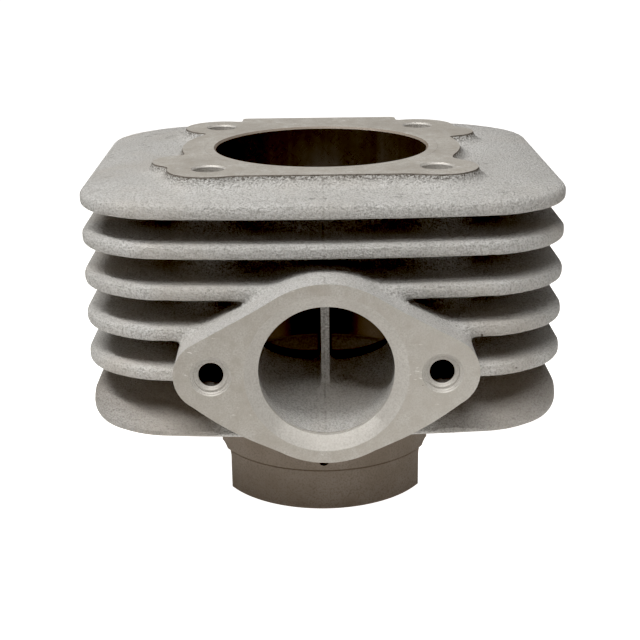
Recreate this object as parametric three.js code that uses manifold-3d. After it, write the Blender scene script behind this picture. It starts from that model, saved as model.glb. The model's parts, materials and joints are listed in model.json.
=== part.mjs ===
// Air-cooled two-stroke cylinder barrel: a finned aluminium casting round an iron liner.
// Millimetres, +Z up along the bore. The origin is on the bore axis at the lower end of the skirt,
// and the exhaust flange faces -Y.
import * as THREE from 'three';
import { mergeVertices } from 'three/addons/utils/BufferGeometryUtils.js';
import Module from 'manifold-3d';

const wasm = await Module();
wasm.setup();

// ---- Driving dimensions -------------------------------------------------------------------------
const BORE_RADIUS = 23.5;
const LINER_WALL = 2.5;
const LINER_RADIUS = BORE_RADIUS + LINER_WALL;
const LINER_GAP = 0.2; // radial, between the liner and the casting
const BORE_CHAMFER = 0.5;

const DECK_Z = 77.5; // head gasket face
const BASE_Z = DECK_Z - 53.1; // base gasket face
const SKIRT_STEP_Z = DECK_Z - 68; // the register diameter ends here
const SKIRT_RADIUS = LINER_RADIUS - 0.4;
const RELIEF_Z = DECK_Z - 52.6; // the honed bore ends here
const RELIEF_RADIUS = BORE_RADIUS + 0.5;
const SKIRT_CHAMFER = 0.4;

const FIN_HALF_WIDTH = 50.5;
const FIN_FRONT = -39.6; // where the front edge meets its corners
const FIN_BACK = 47.1;
const FIN_BOW = 2.6; // outward bow of the front and back edges
const FIN_FRONT_CORNER = 17;
const FIN_BACK_CORNER = 19;
const FIN_THICKNESS = 3.3;
const FIN_PITCH = 8.57;
const FIN_COUNT = 4;
const FIRST_FIN_Z = DECK_Z - 13.45;
const PLATE_Z = DECK_Z - 5.45; // middle of the top plate

const BASE_THICKNESS = 8.4;
const BASE_TIP_ROUND = 2;
const BASE_SLOPE_START = 25; // distance from the bore axis where the base's upper face starts to fall
const BASE_SLOPE_DROP = 2.8;

const STUD_X = 23.6;
const STUD_Y = 24.3;
const STUD_HOLE_RADIUS = 3.25;
const STUD_BOSS_RADIUS = 6.8;
const CORE_RADIUS = 30.5;
const TRANSFER_OUTER_X = 36;
const TRANSFER_HALF_WIDTH = 13;
const TRANSFER_WALL = 3.5;
const TRANSFER_CORNER = 4;
const TRANSFER_TOP_Z = DECK_Z - 27; // the top of the passages and of their windows
const TRANSFER_SILL_Z = DECK_Z - 38;
const TRANSFER_WINDOW_HALF_WIDTH = 10.5;
const SKIRT_NOTCH_HALF_WIDTH = 13.8;
const SKIRT_NOTCH_CORNER = 3;
const SKIRT_NOTCH_SHOULDER_Z = DECK_Z - 66.5; // the notch is narrower above this
const SKIRT_ARCH_RADIUS = 10.5;
const SKIRT_ARCH_SPRING_Z = DECK_Z - 56.5;
const SKIRT_HOLE_RADIUS = 1.2;
const SKIRT_HOLE_Z = DECK_Z - 65.4;

const PAD_RADIUS = 30.9;
const PAD_FRONT = 31.4;
const PAD_FRONT_HALF_WIDTH = 27.6;
const PAD_BACK = 36.6;
const PAD_BACK_HALF_WIDTH = 18.8;
const PAD_LOBE_RADIUS = 8.6;
const PAD_EAR_RADIUS = 6.3;
const PAD_EAR_X = 29.7;
const PAD_EAR_Y = 16;
const PAD_DRAFT = 2.2; // how far the pad's foot stands out from its top edge

const PORT_Z = DECK_Z - 36.2;
const FLANGE_FACE = FIN_BACK + FIN_BOW; // distance of the exhaust flange face from the bore axis
const FLANGE_DEPTH = 14;
const FLANGE_RADIUS = 18.4;
const FLANGE_LOWER_RADIUS = 18.7;
const FLANGE_END_RADIUS = 7.4;
const FLANGE_BOLT_X = 22.85;
const PORT_RADIUS = 13.5;
const PORT_BEVEL_RADIUS = 16.3;
const PORT_BEVEL_DEPTH = 1.8;
const DUCT_RADIUS = 18.1;
const DUCT_THROAT_Y = -LINER_RADIUS + 3; // the passage starts inside the liner's outline
const DUCT_THROAT_Z = DECK_Z - 31.6;
const DUCT_THROAT_HALF_WIDTH = 14.6;
const DUCT_THROAT_HALF_HEIGHT = 9.6;
const RIB_WIDTH = 1.9;
const RIB_FRONT = 33;

const BOLT_DEPTH = 17;
const BOLT_END_WALL = 4;
const BOLT_COUNTERSINK_RADIUS = 4.15;
const BOLT_COUNTERSINK_DEPTH = 1;
const INSERT_OUTER_RADIUS = 3.4;
const INSERT_INNER_RADIUS = 2.5;
const INSERT_LENGTH = 12;
const INSERT_RECESS = 1.6;
const INSERT_GAP = 0.2;

const WINDOW_BRIDGE = 1.5; // half the width of the bridge between the two exhaust windows
const WINDOW_HALF_CHORD = 14;
const WINDOW_TOP_Z = DECK_Z - 22.6;
const WINDOW_SILL_Z = DECK_Z - 36.7;
const WINDOW_LOBE = 1.7; // how far the middle of each sill dips below its ends
const WINDOW_CORNER = 3;
const WINDOW_FALL = 1; // mm down for each mm outwards

const ROUND = 48; // facets of the bore and everything that fits it
const FINE = 24; // facets of the exhaust port
const SMALL = 12; // facets of bolt holes
const ROUGH = 10; // facets of the cast bosses, lobes and ears
const CUT = 1; // how far a cutting shape runs past the surface it cuts
const REACH = 60; // longer than any distance from the bore axis
const QUARTER = Math.PI / 2;

// ---- Solids and shapes --------------------------------------------------------------------------
function solid(geometry) {
  const bare = geometry.clone();
  bare.deleteAttribute('normal');
  bare.deleteAttribute('uv');
  const merged = mergeVertices(bare, 1e-5);
  return new wasm.Manifold(new wasm.Mesh({
    numProp: 3,
    vertProperties: new Float32Array(merged.attributes.position.array),
    triVerts: new Uint32Array(merged.index.array),
  }));
}

function geometryOf(manifold) {
  const mesh = manifold.getMesh();
  const geometry = new THREE.BufferGeometry();
  geometry.setAttribute('position', new THREE.BufferAttribute(mesh.vertProperties, 3));
  geometry.setIndex(new THREE.BufferAttribute(mesh.triVerts, 1));
  geometry.computeVertexNormals();
  return geometry;
}

const joined = (first, ...others) => others.reduce((sum, one) => sum.add(one), first);
const cutBy = (body, ...tools) => tools.reduce((rest, tool) => rest.subtract(tool), body);

// A cylinder or cone between two heights, with its axis along Z.
function upright(radiusTop, radiusBottom, bottom, top, x = 0, y = 0, facets = SMALL) {
  const geometry = new THREE.CylinderGeometry(radiusTop, radiusBottom, top - bottom, facets);
  geometry.rotateX(Math.PI / 2);
  geometry.translate(x, y, (bottom + top) / 2);
  return solid(geometry);
}

// A cylinder or cone with its axis along Y, running from the front (y0) to the back (y1).
function level(radiusFront, radiusBack, y0, y1, x = 0, z = 0, facets = SMALL) {
  const geometry = new THREE.CylinderGeometry(radiusBack, radiusFront, y1 - y0, facets);
  geometry.translate(x, (y0 + y1) / 2, z);
  return solid(geometry);
}

function box(x0, x1, y0, y1, z0, z1) {
  const geometry = new THREE.BoxGeometry(x1 - x0, y1 - y0, z1 - z0);
  geometry.translate((x0 + x1) / 2, (y0 + y1) / 2, (z0 + z1) / 2);
  return solid(geometry);
}

// Moves every vertex of a geometry to the place that a function gives for it.
function reshape(geometry, place) {
  const position = geometry.attributes.position;
  const point = new THREE.Vector3();
  for (let i = 0; i < position.count; i += 1) {
    point.fromBufferAttribute(position, i);
    place(point);
    position.setXYZ(i, point.x, point.y, point.z);
  }
  return geometry;
}

// A shape drawn in the X-Z plane, extruded along Y from the front (y0) to the back (y1).
function extrudedBack(shape, y0, y1) {
  const geometry = new THREE.ExtrudeGeometry(shape, { depth: y1 - y0, bevelEnabled: false });
  geometry.rotateX(Math.PI / 2);
  geometry.translate(0, y1, 0);
  return geometry;
}

// ---- Fins, top plate and base -------------------------------------------------------------------
// Straight sides, bowed front and back edges, and round corners that run smoothly into both.
function finOutline() {
  const ends = [[-1, FIN_FRONT, FIN_FRONT_CORNER], [1, FIN_BACK, FIN_BACK_CORNER]];
  const shape = new THREE.Shape();
  for (const [side, edge, radius] of ends) {
    const centreX = FIN_HALF_WIDTH - radius;
    const centreY = edge - side * radius;
    const start = side < 0 ? Math.PI : 0;
    const tilt = Math.atan(2 * FIN_BOW / centreX);
    const endX = centreX + radius * Math.sin(tilt);
    const endY = centreY + side * radius * Math.cos(tilt);
    shape.absarc(side * centreX, centreY, radius, start, start + QUARTER - tilt, false);
    shape.quadraticCurveTo(0, 2 * (edge + side * FIN_BOW) - endY, -side * endX, endY);
    shape.absarc(-side * centreX, centreY, radius, start + QUARTER + tilt, start + Math.PI, false);
  }
  return shape;
}

function finPlate(bottom, top, tipRound) {
  const geometry = new THREE.ExtrudeGeometry(finOutline(), {
    depth: top - bottom - 2 * tipRound,
    bevelEnabled: tipRound > 0,
    bevelThickness: tipRound,
    bevelSize: tipRound,
    bevelOffset: -tipRound,
    bevelSegments: 1,
    curveSegments: 4,
  });
  geometry.translate(0, 0, bottom + tipRound);
  return solid(geometry);
}

function fins() {
  const levels = [PLATE_Z];
  for (let i = 0; i < FIN_COUNT; i += 1) levels.push(FIRST_FIN_Z - i * FIN_PITCH);
  return levels.map((z) => finPlate(z - FIN_THICKNESS / 2, z + FIN_THICKNESS / 2, 0));
}

// The base flange: its upper face falls towards the front and back edges, its lower face is cut flat.
function base() {
  const slope = Math.atan(BASE_SLOPE_DROP / (Math.abs(FIN_FRONT) - BASE_SLOPE_START));
  const plate = finPlate(BASE_Z - BASE_TIP_ROUND, BASE_Z + BASE_THICKNESS, BASE_TIP_ROUND);
  const fall = (side) => {
    const wedge = new THREE.BoxGeometry(2 * REACH, REACH, REACH);
    wedge.translate(0, side * REACH / 2, REACH / 2);
    wedge.rotateX(-side * slope);
    wedge.translate(0, side * BASE_SLOPE_START, BASE_Z + BASE_THICKNESS);
    return solid(wedge);
  };
  return cutBy(plate, fall(-1), fall(1), box(-REACH, REACH, -REACH, REACH, -CUT, BASE_Z));
}

// ---- Core, stud bosses and deck pad -------------------------------------------------------------
function roundedRectangle(halfX, halfY, radius) {
  const shape = new THREE.Shape();
  const corners = [[1, -1], [1, 1], [-1, 1], [-1, -1]];
  corners.forEach(([x, y], i) => {
    const start = (i - 1) * QUARTER;
    shape.absarc(x * (halfX - radius), y * (halfY - radius), radius, start, start + QUARTER, false);
  });
  return shape;
}

function transferBlock(outerX, halfWidth, bottom, top, radius) {
  const shape = roundedRectangle(outerX, halfWidth, radius);
  const geometry = new THREE.ExtrudeGeometry(shape, {
    depth: top - bottom, bevelEnabled: false, curveSegments: 3,
  });
  geometry.translate(0, 0, bottom);
  return solid(geometry);
}

function studs(radius, bottom, top, facets = SMALL) {
  const holes = [];
  for (const x of [-STUD_X, STUD_X]) {
    for (const y of [-STUD_Y, STUD_Y]) holes.push(upright(radius, radius, bottom, top, x, y, facets));
  }
  return joined(...holes);
}

function core() {
  const bulge = transferBlock(
    TRANSFER_OUTER_X + TRANSFER_WALL, TRANSFER_HALF_WIDTH + TRANSFER_WALL,
    BASE_Z, PLATE_Z, TRANSFER_CORNER + TRANSFER_WALL);
  const barrel = upright(CORE_RADIUS, CORE_RADIUS, BASE_Z, PLATE_Z, 0, 0, FINE);
  return joined(barrel, bulge, studs(STUD_BOSS_RADIUS, BASE_Z, PLATE_Z, ROUGH));
}

// The raised deck: a round body with a straight front, a tongue at the back, a lobe round each stud
// hole, and one ear at the front left and one at the back right.
function deckPad() {
  const foot = (radius, x, y, facets) => upright(
    radius, radius + PAD_DRAFT, PLATE_Z, DECK_Z, x, y, facets);
  const block = (halfX, y0, y1) => {
    const geometry = new THREE.BoxGeometry(2 * halfX, y1 - y0, DECK_Z - PLATE_Z);
    reshape(geometry, (p) => {
      if (p.z > 0) return;
      p.x += Math.sign(p.x) * PAD_DRAFT;
      p.y += Math.sign(p.y) * PAD_DRAFT;
    });
    geometry.translate(0, (y0 + y1) / 2, (PLATE_Z + DECK_Z) / 2);
    return solid(geometry);
  };
  const lobes = [-STUD_X, STUD_X].flatMap(
    (x) => [-STUD_Y, STUD_Y].map((y) => foot(PAD_LOBE_RADIUS, x, y, ROUGH)));
  return joined(
    foot(PAD_RADIUS, 0, 0, FINE),
    block(PAD_FRONT_HALF_WIDTH, -PAD_FRONT, 0),
    block(PAD_BACK_HALF_WIDTH, 0, PAD_BACK),
    ...lobes,
    foot(PAD_EAR_RADIUS, -PAD_EAR_X, -PAD_EAR_Y, ROUGH),
    foot(PAD_EAR_RADIUS, PAD_EAR_X, PAD_EAR_Y, ROUGH),
  );
}

// ---- Exhaust duct and flange --------------------------------------------------------------------
// The flange outline: a large middle circle with a smaller circle round each bolt, joined by the lines
// that touch both.
function flangeOutline() {
  const shape = new THREE.Shape();
  const tilt = (radius) => Math.acos((radius - FLANGE_END_RADIUS) / FLANGE_BOLT_X);
  const upper = tilt(FLANGE_RADIUS);
  const lower = tilt(FLANGE_LOWER_RADIUS);
  shape.absarc(0, 0, FLANGE_RADIUS, upper, Math.PI - upper, false);
  shape.absarc(-FLANGE_BOLT_X, 0, FLANGE_END_RADIUS, Math.PI - upper, Math.PI + lower, false);
  shape.absarc(0, 0, FLANGE_LOWER_RADIUS, Math.PI + lower, 2 * Math.PI - lower, false);
  shape.absarc(FLANGE_BOLT_X, 0, FLANGE_END_RADIUS, -lower, upper, false);
  return shape;
}

function exhaustBody() {
  const flange = extrudedBack(flangeOutline(), -FLANGE_FACE, -FLANGE_FACE + FLANGE_DEPTH);
  flange.translate(0, 0, PORT_Z);
  const front = -FLANGE_FACE + CUT;
  const bossBack = -FLANGE_FACE + BOLT_DEPTH + BOLT_END_WALL;
  const web = box(
    -FLANGE_BOLT_X, FLANGE_BOLT_X, front, -STUD_Y,
    PORT_Z - FLANGE_END_RADIUS, PORT_Z + FLANGE_END_RADIUS);
  return joined(
    solid(flange),
    web,
    level(DUCT_RADIUS, DUCT_RADIUS, front, -BORE_RADIUS, 0, PORT_Z, FINE),
    level(FLANGE_END_RADIUS, FLANGE_END_RADIUS, front, bossBack, -FLANGE_BOLT_X, PORT_Z),
    level(FLANGE_END_RADIUS, FLANGE_END_RADIUS, front, bossBack, FLANGE_BOLT_X, PORT_Z),
  );
}

// The gas passage: round at the flange, wider and flatter where it meets the liner's windows.
function exhaustPassage() {
  const mouth = -FLANGE_FACE + PORT_BEVEL_DEPTH;
  const passage = new THREE.CylinderGeometry(1, 1, 1, FINE, 1);
  reshape(passage, (p) => {
    const atThroat = p.y > 0;
    p.x *= atThroat ? DUCT_THROAT_HALF_WIDTH : PORT_RADIUS;
    p.z = atThroat
      ? DUCT_THROAT_Z + p.z * DUCT_THROAT_HALF_HEIGHT
      : PORT_Z + p.z * PORT_RADIUS;
    p.y = atThroat ? DUCT_THROAT_Y : mouth;
  });
  const bevel = level(
    PORT_BEVEL_RADIUS, PORT_RADIUS, -FLANGE_FACE, mouth, 0, PORT_Z, FINE);
  const opening = level(
    PORT_BEVEL_RADIUS, PORT_BEVEL_RADIUS, -FLANGE_FACE - CUT, -FLANGE_FACE, 0, PORT_Z, FINE);
  return joined(solid(passage), bevel, opening);
}

function bridgeRib() {
  const half = RIB_WIDTH / 2;
  return box(-half, half, -RIB_FRONT, -LINER_RADIUS - 2 * LINER_GAP,
    PORT_Z - PORT_RADIUS, PORT_Z + PORT_RADIUS);
}

function boltHole(x) {
  const radius = INSERT_OUTER_RADIUS + INSERT_GAP;
  return joined(
    level(radius, radius, -FLANGE_FACE - CUT, -FLANGE_FACE + BOLT_DEPTH, x, PORT_Z),
    level(BOLT_COUNTERSINK_RADIUS, radius, -FLANGE_FACE, -FLANGE_FACE + BOLT_COUNTERSINK_DEPTH, x, PORT_Z),
  );
}

// ---- The casting --------------------------------------------------------------------------------
function barrelCasting() {
  const body = joined(core(), ...fins(), base(), deckPad(), exhaustBody());
  const linerSeat = upright(
    LINER_RADIUS + LINER_GAP, LINER_RADIUS + LINER_GAP, BASE_Z - CUT, DECK_Z + CUT, 0, 0, ROUND);
  const passages = transferBlock(
    TRANSFER_OUTER_X, TRANSFER_HALF_WIDTH, BASE_Z - CUT, TRANSFER_TOP_Z, TRANSFER_CORNER);
  const underBase = box(-REACH, REACH, FIN_FRONT - FIN_BOW, REACH, 0, BASE_Z);
  const shell = cutBy(
    body,
    linerSeat,
    passages,
    underBase,
    studs(STUD_HOLE_RADIUS, BASE_Z - CUT, DECK_Z + CUT),
    exhaustPassage(),
    boltHole(-FLANGE_BOLT_X),
    boltHole(FLANGE_BOLT_X),
  );
  return shell.add(bridgeRib());
}

// ---- The liner ----------------------------------------------------------------------------------
function linerTube() {
  const profile = [
    [RELIEF_RADIUS, SKIRT_CHAMFER],
    [RELIEF_RADIUS, RELIEF_Z - 2 * BORE_CHAMFER],
    [BORE_RADIUS, RELIEF_Z],
    [BORE_RADIUS, DECK_Z - BORE_CHAMFER],
    [BORE_RADIUS + BORE_CHAMFER, DECK_Z],
    [LINER_RADIUS, DECK_Z],
    [LINER_RADIUS, SKIRT_STEP_Z],
    [SKIRT_RADIUS, SKIRT_STEP_Z],
    [SKIRT_RADIUS, SKIRT_CHAMFER],
    [SKIRT_RADIUS - SKIRT_CHAMFER, 0],
    [RELIEF_RADIUS + BORE_CHAMFER, 0],
    [RELIEF_RADIUS, SKIRT_CHAMFER],
  ].map(([radius, height]) => new THREE.Vector2(radius, height)).reverse();
  const geometry = new THREE.LatheGeometry(profile, ROUND);
  geometry.rotateX(Math.PI / 2);
  return solid(geometry);
}

// One exhaust window, right of the bridge for side = 1. Its sill is lobed, and the whole window falls
// towards the outside of the liner.
function exhaustWindow(side) {
  const inner = side * WINDOW_BRIDGE;
  const outer = side * WINDOW_HALF_CHORD;
  const shape = new THREE.Shape();
  shape.moveTo(inner, WINDOW_SILL_Z);
  shape.quadraticCurveTo((inner + outer) / 2, WINDOW_SILL_Z - 2 * WINDOW_LOBE, outer, WINDOW_SILL_Z);
  shape.lineTo(outer, WINDOW_TOP_Z - WINDOW_CORNER);
  shape.quadraticCurveTo(outer, WINDOW_TOP_Z, outer - side * WINDOW_CORNER, WINDOW_TOP_Z);
  shape.lineTo(inner, WINDOW_TOP_Z);
  const geometry = extrudedBack(shape, -LINER_RADIUS - CUT, -BORE_RADIUS / 2);
  return solid(reshape(geometry, (p) => {
    p.z -= Math.max(0, -p.y - BORE_RADIUS) * WINDOW_FALL;
  }));
}

// Turns a shape drawn in the Y-Z plane into a cutter that runs along X, from -reach to reach.
function extrudedAcross(shape, reach) {
  const geometry = new THREE.ExtrudeGeometry(shape, {
    depth: 2 * reach, bevelEnabled: false, curveSegments: 6,
  });
  geometry.translate(0, 0, -reach);
  geometry.rotateX(Math.PI / 2);
  geometry.rotateZ(Math.PI / 2);
  return solid(geometry);
}

function transferWindows() {
  const halfHeight = (TRANSFER_TOP_Z - TRANSFER_SILL_Z) / 2;
  const middle = (TRANSFER_TOP_Z + TRANSFER_SILL_Z) / 2;
  const shape = roundedRectangle(TRANSFER_WINDOW_HALF_WIDTH, halfHeight, halfHeight / 3);
  return extrudedAcross(shape, LINER_RADIUS + CUT).translate([0, 0, middle]);
}

// The notches on both sides of the skirt, which feed the transfer passages: wide below, with round
// shoulders, and a narrower arch above.
function skirtNotches() {
  const half = SKIRT_NOTCH_HALF_WIDTH;
  const cornerZ = SKIRT_NOTCH_SHOULDER_Z - SKIRT_NOTCH_CORNER;
  const shape = new THREE.Shape();
  shape.moveTo(-half, -CUT);
  shape.lineTo(half, -CUT);
  shape.lineTo(half, cornerZ);
  shape.absarc(half - SKIRT_NOTCH_CORNER, cornerZ, SKIRT_NOTCH_CORNER, 0, QUARTER, false);
  shape.lineTo(SKIRT_ARCH_RADIUS, SKIRT_NOTCH_SHOULDER_Z);
  shape.absarc(0, SKIRT_ARCH_SPRING_Z, SKIRT_ARCH_RADIUS, 0, Math.PI, false);
  shape.lineTo(-SKIRT_ARCH_RADIUS, SKIRT_NOTCH_SHOULDER_Z);
  shape.absarc(SKIRT_NOTCH_CORNER - half, cornerZ, SKIRT_NOTCH_CORNER, QUARTER, Math.PI, false);
  return extrudedAcross(shape, LINER_RADIUS + CUT);
}

function cylinderLiner() {
  const drilling = level(
    SKIRT_HOLE_RADIUS, SKIRT_HOLE_RADIUS, -LINER_RADIUS - CUT, -BORE_RADIUS / 2, 0, SKIRT_HOLE_Z);
  return cutBy(
    linerTube(), exhaustWindow(-1), exhaustWindow(1), transferWindows(), skirtNotches(), drilling);
}

// ---- Thread insert ------------------------------------------------------------------------------
// A sleeve along Y whose outer end is at y = 0.
function insertGeometry() {
  const profile = [
    [INSERT_INNER_RADIUS, 0],
    [INSERT_OUTER_RADIUS, 0],
    [INSERT_OUTER_RADIUS, INSERT_LENGTH],
    [INSERT_INNER_RADIUS, INSERT_LENGTH],
    [INSERT_INNER_RADIUS, 0],
  ].map(([radius, height]) => new THREE.Vector2(radius, height));
  return new THREE.LatheGeometry(profile, SMALL);
}

// ---- Scene --------------------------------------------------------------------------------------
const castAluminium = new THREE.MeshStandardMaterial({ color: 0xb9b8b5, roughness: 0.7, metalness: 0.4 });
const linerIron = new THREE.MeshStandardMaterial({ color: 0x6e665d, roughness: 0.45, metalness: 0.8 });
const insertSteel = new THREE.MeshStandardMaterial({ color: 0x8a867e, roughness: 0.4, metalness: 0.9 });

function part(name, geometry, material) {
  const mesh = new THREE.Mesh(geometry, material);
  mesh.name = name;
  return mesh;
}

const cylinderBarrel = new THREE.Group();
cylinderBarrel.add(part('barrel_casting', geometryOf(barrelCasting()), castAluminium));
cylinderBarrel.add(part('cylinder_liner', geometryOf(cylinderLiner()), linerIron));
for (const [name, side] of [['left', -1], ['right', 1]]) {
  const insert = part(`exhaust_thread_insert_${name}`, insertGeometry(), insertSteel);
  insert.position.set(side * FLANGE_BOLT_X, -FLANGE_FACE + INSERT_RECESS, PORT_Z);
  cylinderBarrel.add(insert);
}

export default cylinderBarrel;
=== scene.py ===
"""Looks of an air-cooled two-stroke cylinder barrel: a blasted aluminium casting round an iron liner.

The casting is a distance field (rounded solids blended with fillets), turned into a mesh and then cut
with plain cutters where the real one is machined. Lengths inside the shape functions are millimetres.
"""
import json
import math

import bmesh
import bpy
import numpy as np
from mathutils import Matrix, Vector

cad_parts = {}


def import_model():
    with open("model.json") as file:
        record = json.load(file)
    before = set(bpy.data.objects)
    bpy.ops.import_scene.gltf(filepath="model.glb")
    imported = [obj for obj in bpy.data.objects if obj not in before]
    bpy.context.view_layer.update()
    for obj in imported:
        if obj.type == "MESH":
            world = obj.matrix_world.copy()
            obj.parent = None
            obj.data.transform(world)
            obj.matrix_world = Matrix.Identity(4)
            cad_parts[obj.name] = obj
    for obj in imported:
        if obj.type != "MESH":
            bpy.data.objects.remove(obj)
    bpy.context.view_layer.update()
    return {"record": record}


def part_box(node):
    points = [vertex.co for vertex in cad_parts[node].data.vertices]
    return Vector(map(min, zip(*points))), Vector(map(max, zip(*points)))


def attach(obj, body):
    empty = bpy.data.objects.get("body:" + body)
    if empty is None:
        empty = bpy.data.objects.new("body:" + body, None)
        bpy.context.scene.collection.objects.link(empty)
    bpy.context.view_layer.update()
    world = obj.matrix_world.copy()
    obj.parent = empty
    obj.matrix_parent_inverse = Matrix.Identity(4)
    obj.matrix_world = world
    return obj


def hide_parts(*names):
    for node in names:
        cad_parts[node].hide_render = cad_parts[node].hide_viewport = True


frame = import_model()

# ---- Driving dimensions, in millimetres, from the frame -------------------------------------------
MM = 0.001
mounts = {m["name"]: m["pos_m"] for m in frame["record"]["mounts"]}
cast_low, cast_high = (np.array(corner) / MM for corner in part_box("barrel_casting"))
liner_high = np.array(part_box("cylinder_liner")[1]) / MM
insert_low, insert_high = (np.array(corner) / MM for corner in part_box("exhaust_thread_insert_right"))

DECK = cast_high[2]                 # head gasket face
BASE = mounts["base_gasket_face"][2] / MM
FACE = -cast_low[1]                 # exhaust flange face, as a distance in front of the bore axis
HALF_WIDTH = cast_high[0]
BACK = cast_high[1]
LINER_RADIUS = liner_high[0]
BOLT_X = (insert_low[0] + insert_high[0]) / 2
PORT_Z = (insert_low[2] + insert_high[2]) / 2
INSERT_RADIUS = (insert_high[0] - insert_low[0]) / 2
INSERT_BACK = insert_high[1]

# ---- Other sizes, in millimetres ------------------------------------------------------------------
BORE_RADIUS = LINER_RADIUS - 2.5
BORE_CHAMFER = 0.45
RELIEF_Z = DECK - 52.6              # below this height the bore is a little wider
RELIEF_RADIUS = BORE_RADIUS + 0.5
SKIRT_STEP = DECK - 68.0
SKIRT_RADIUS = LINER_RADIUS - 0.4
NOTCH_HALF_WIDTH, NOTCH_CORNER, NOTCH_ARCH = 13.8, 3.0, 10.5
NOTCH_SHOULDER, NOTCH_SPRING = DECK - 66.5, DECK - 56.5
DRILLING_X, DRILLING_Z = -0.4, DECK - 65.4
DRILLING_RADIUS = 1.2
JOINT = 0.03                        # hairline between the casting and what is pressed into it

FIN_BOW = 2.6                       # how far a fin's front and back edges bow outwards
FIN_FRONT = -39.6
FIN_BACK = BACK - FIN_BOW
FIN_FRONT_CORNER = 17.0
FIN_BACK_CORNER = 19.0
FIN_HALF_THICKNESS = 1.45
FIN_TIP_ROUND = 0.95
FIN_PITCH = 8.57
FIN_LEVELS = [DECK - 13.45 - FIN_PITCH * i for i in range(4)]
FIN_TAPER, FIN_TAPER_RUN = 0.025, 22.0    # slope of a fin's faces, and how far in from its edge they slope
PLATE_Z = DECK - 5.45
PLATE_CROWN = 1.8                   # how far the top plate rises from its rim to the deck pad
CROWN_RUN = 12.0

BASE_TOP = BASE + 8.4
BASE_LEAN = 0.10                    # slope of the base flange's sides
BASE_FLAT = 25.0                    # beyond this distance from the bore axis its top falls
BASE_FALL = 0.36                    # slope of its top there
BASE_EASE = 1.2                     # how much of its lower round the base face cuts off
BASE_ROUND = 4.2

PAD_RADIUS = 30.9
PAD_FRONT, PAD_FRONT_HALF_WIDTH = 31.4, 27.8
PAD_BACK, PAD_BACK_HALF_WIDTH = 36.6, 18.9
PAD_LOBE = 8.5                      # radius round each stud hole
EAR_X, EAR_Y, EAR_RADIUS = 29.7, 16.0, 6.3
PAD_DRAFT = 0.3

STUD_X, STUD_Y = 23.6, 24.3
STUD_HOLE = 3.25
STUD_CHAMFER = 0.35
STUD_BOSS = 6.8
CORE_RADIUS = 30.5
TRANSFER_X, TRANSFER_Y = 36.0, 13.0
TRANSFER_TOP = DECK - 27.0
TRANSFER_SILL = DECK - 38.0
TRANSFER_WALL = 3.5
TRANSFER_WINDOW_HALF, TRANSFER_WINDOW_CORNER = 10.5, 1.8

PORT_RADIUS = 13.5
BEVEL_RADIUS = 16.3
BEVEL_DEPTH = 1.8
PORT_LAND = 0.8                     # turned length behind the bevel
THROAT_Z = DECK - 31.6              # middle of the exhaust passage where it meets the liner
THROAT_HALF_WIDTH, THROAT_HALF_HEIGHT = 16.0, 9.7
PASSAGE_END = 8.0                   # the passage is cut this close to the bore axis
WINDOW_INNER, WINDOW_OUTER = 1.5, 14.4    # an exhaust window's two sides, from the middle of the bridge
WINDOW_TOP, WINDOW_SILL = DECK - 22.6, DECK - 36.9
WINDOW_SAG, WINDOW_CORNER = 0.4, 3.0
FLANGE_UPPER, FLANGE_LOWER = 18.4, 18.7
FLANGE_END = 7.4
FLANGE_BULGE = 0.8                  # how far the two lower edges bow outwards
FLANGE_DEPTH = 14.0
DUCT_RADIUS = 18.1
DUCT_WALL = 2.2                     # metal round the exhaust passage
BOLT_DEPTH = 17.0
DRILL_POINT = 2.0                   # length of the cone at the bottom of a bolt hole
COUNTERSINK = 4.15
TOOL_STEP, TOOL_FEED = 0.36, 0.26   # radius and depth between the turned rings of a countersink
THREAD_MINOR = 2.5
THREAD_PITCH = 1.0
THREAD_GROOVE = 0.55
RIB_FRONT = 35.0
RIB_HALF_THICKNESS = 0.85

GRID = 0.8                          # spacing of the distance field
SKIN_TRIANGLES = 190_000
STOCK = 1.6                         # metal left on a machined face before it is cut
OVERRUN = 9.0                       # how far a cutter goes past the face that it cuts
NEAR = 0.02                         # a face this close to a machined surface belongs to it

# ---- Light ----------------------------------------------------------------------------------------
TABLE_GLOW = 0.36                   # light that the table gives off near the part
ROOM_LIGHT = 0.012                  # even light from all round
LAMP_Y, LAMP_Z, LAMP_DEPTH = -0.34, 1.08, 0.10    # in metres
LAMP_COLOR = (1.0, 0.99, 0.97)
BLACK_LEVEL = (0.018, 0.020, 0.0205)


# ---- Distance fields ------------------------------------------------------------------------------
def blend(a, b, radius):
    """Union of two fields with a fillet."""
    mix = np.clip(0.5 + 0.5 * (b - a) / radius, 0.0, 1.0)
    return b + (a - b) * mix - radius * mix * (1.0 - mix)


def carve(a, b, radius):
    """Field a with field b taken away, its edges eased by radius."""
    return -blend(-a, b, radius)


def rounded(in_plane, along, radius):
    """A solid from its two half distances, with its edges rounded."""
    u = in_plane + radius
    v = along + radius
    outside = np.hypot(np.maximum(u, 0.0), np.maximum(v, 0.0))
    return np.minimum(np.maximum(u, v), 0.0) + outside - radius


def rectangle(x, y, half_x, half_y, radius):
    """A rectangle with round corners."""
    u = np.abs(x) - half_x + radius
    v = np.abs(y) - half_y + radius
    outside = np.hypot(np.maximum(u, 0.0), np.maximum(v, 0.0))
    return np.minimum(np.maximum(u, v), 0.0) + outside - radius


def slab(z, low, high):
    """The space between two parallel planes."""
    return np.abs(z - (low + high) / 2) - (high - low) / 2


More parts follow.
